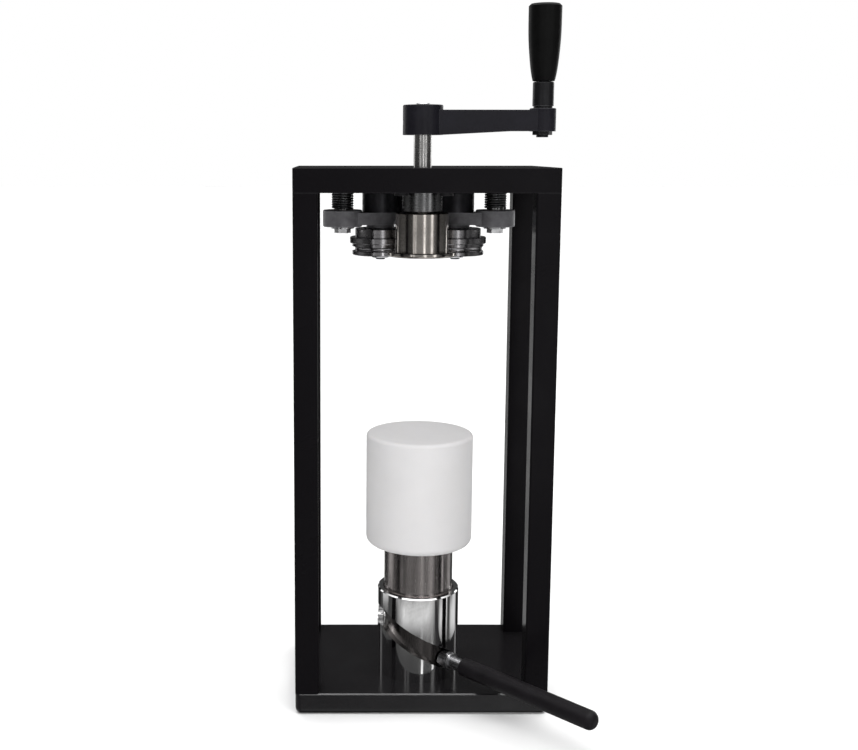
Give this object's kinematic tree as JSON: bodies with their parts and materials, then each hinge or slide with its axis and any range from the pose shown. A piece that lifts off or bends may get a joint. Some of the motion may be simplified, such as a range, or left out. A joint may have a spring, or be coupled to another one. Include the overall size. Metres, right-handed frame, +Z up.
{
  "type": "manual can seamer",
  "caption": "Hand-cranked bench can seamer: open black frame, crank-driven chuck, swinging seaming rollers and a lever-raised white can platform.",
  "frame": {"origin": "on the vertical machine axis (chuck, crank and lift), at the underside of the base", "axes": "+Z up, +X to the right seen from the open front, the front faces -Y"},
  "size_m": [0.1921, 0.1873, 0.4764],
  "materials": {
    "frame_paint": "satin-gloss black paint",
    "plate_paint": "satin black paint",
    "black_screws": "black oxide",
    "bright_screws": "zinc plated",
    "polished_shaft": "ground",
    "dark_steel": "turned, dark",
    "spring_steel": "oiled spring wire",
    "bearing_steel": "ground and polished",
    "cage_brass": "stamped",
    "bronze": "turned bronze",
    "polished_chuck": "turned and polished",
    "roller_steel": "hardened, turned",
    "arm_steel": "dark grey phosphate",
    "crank_paint": "satin black casting",
    "spindle_black": "black oxide",
    "grip_plastic": "satin black moulding",
    "cam_tube_chrome": "polished",
    "lift_tube_steel": "brushed stainless",
    "lever_steel": "turned",
    "lever_rubber": "satin black sleeve",
    "white_plastic": "turned white nylon"
  },
  "bodies": {
    "frame": {"base_shell": "frame_paint", "base_cover": "plate_paint", "base_cover_screws": "black_screws", "post_front_left": "frame_paint", "post_front_right": "frame_paint", "post_rear_left": "frame_paint", "post_rear_right": "frame_paint", "head_plate": "plate_paint", "top_pan": "frame_paint", "top_pan_screws": "black_screws", "bearing_housing": "dark_steel", "housing_screws": "black_screws", "shaft_bearings": "bearing_steel", "pivot_posts": "dark_steel", "pivot_nuts": "black_screws", "pivot_bolts": "bright_screws", "arm_springs": "spring_steel", "stop_bracket": "plate_paint", "bracket_screws": "black_screws", "stop_screws": "black_screws", "stop_nuts": "black_screws", "cam_tube": "cam_tube_chrome", "flange_nuts": "black_screws"},
    "spindle": {"main_shaft": "polished_shaft", "bearing_spacer": "polished_shaft", "shaft_clip": "bright_screws", "seaming_chuck": "polished_chuck", "chuck_screw": "bright_screws", "crank_arm": "crank_paint", "crank_screw": "bright_screws", "crank_set_screw": "black_screws", "handle_spindle": "spindle_black", "spindle_nut": "black_screws"},
    "crank_handle": {"crank_grip": "grip_plastic", "grip_cap": "grip_plastic"},
    "arm_left": {"roller_arm_left": "arm_steel", "arm_bush_left": "bronze", "roller_axle_left": "dark_steel", "axle_nut_left": "bright_screws"},
    "arm_right": {"roller_arm_right": "arm_steel", "arm_bush_right": "bronze", "roller_axle_right": "dark_steel", "axle_nut_right": "bright_screws"},
    "roller_left": {"seaming_roller_left": "roller_steel", "roller_bearings_left": "bearing_steel"},
    "roller_right": {"seaming_roller_right": "roller_steel", "roller_bearings_right": "bearing_steel"},
    "lift_carrier": {"thrust_balls": "bearing_steel", "thrust_cage": "cage_brass"},
    "lift_lever": {"lift_tube": "lift_tube_steel", "anchor_plug": "dark_steel", "top_plug": "dark_steel", "lower_race": "bearing_steel", "lever_rod": "lever_steel", "cam_bush": "lever_steel", "lever_washer": "bright_screws", "lever_grip": "lever_rubber"},
    "platform": {"platform_block": "white_plastic", "pin_bush": "bronze", "upper_race": "bearing_steel"}
  },
  "joints": [
    {"name": "crank_spin", "type": "hinge", "parent": "frame", "child": "spindle", "pos_m": [0, 0, 0.36], "axis": [0, 0, 1], "continuous": true},
    {"name": "grip_spin", "type": "hinge", "parent": "spindle", "child": "crank_handle", "pos_m": [0.08, 0, 0.45], "axis": [0, 0, 1], "continuous": true},
    {"name": "arm_left_swing", "type": "hinge", "parent": "frame", "child": "arm_left", "pos_m": [-0.0536, 0.03, 0.334], "axis": [0, 0, -1], "range_deg": [0, 5.5], "stiffness_Nm_per_rad": 0.8, "springref_deg": -8.59},
    {"name": "arm_right_swing", "type": "hinge", "parent": "frame", "child": "arm_right", "pos_m": [0.0536, 0.03, 0.334], "axis": [0, 0, 1], "range_deg": [0, 5.5], "stiffness_Nm_per_rad": 0.8, "springref_deg": -8.59},
    {"name": "roller_left_spin", "type": "hinge", "parent": "arm_left", "child": "roller_left", "pos_m": [-0.0266, 0.038, 0.315], "axis": [0, 0, 1], "continuous": true},
    {"name": "roller_right_spin", "type": "hinge", "parent": "arm_right", "child": "roller_right", "pos_m": [0.0266, 0.038, 0.315], "axis": [0, 0, 1], "continuous": true},
    {"name": "lift_rise", "type": "slide", "parent": "frame", "child": "lift_carrier", "axis": [0, 0, 1], "range_m": [0, 0.0244]},
    {"name": "lever_turn", "type": "hinge", "parent": "lift_carrier", "child": "lift_lever", "pos_m": [0, 0, 0.029], "axis": [0, 0, -1], "range_deg": [0, 90]},
    {"name": "platform_spin", "type": "hinge", "parent": "lift_carrier", "child": "platform", "pos_m": [0, 0, 0.145], "axis": [0, 0, 1], "continuous": true}
  ],
  "couplings": [
    {"joint": "lift_rise", "follows": "lever_turn", "m_per_rad": 0.01547}
  ]
}
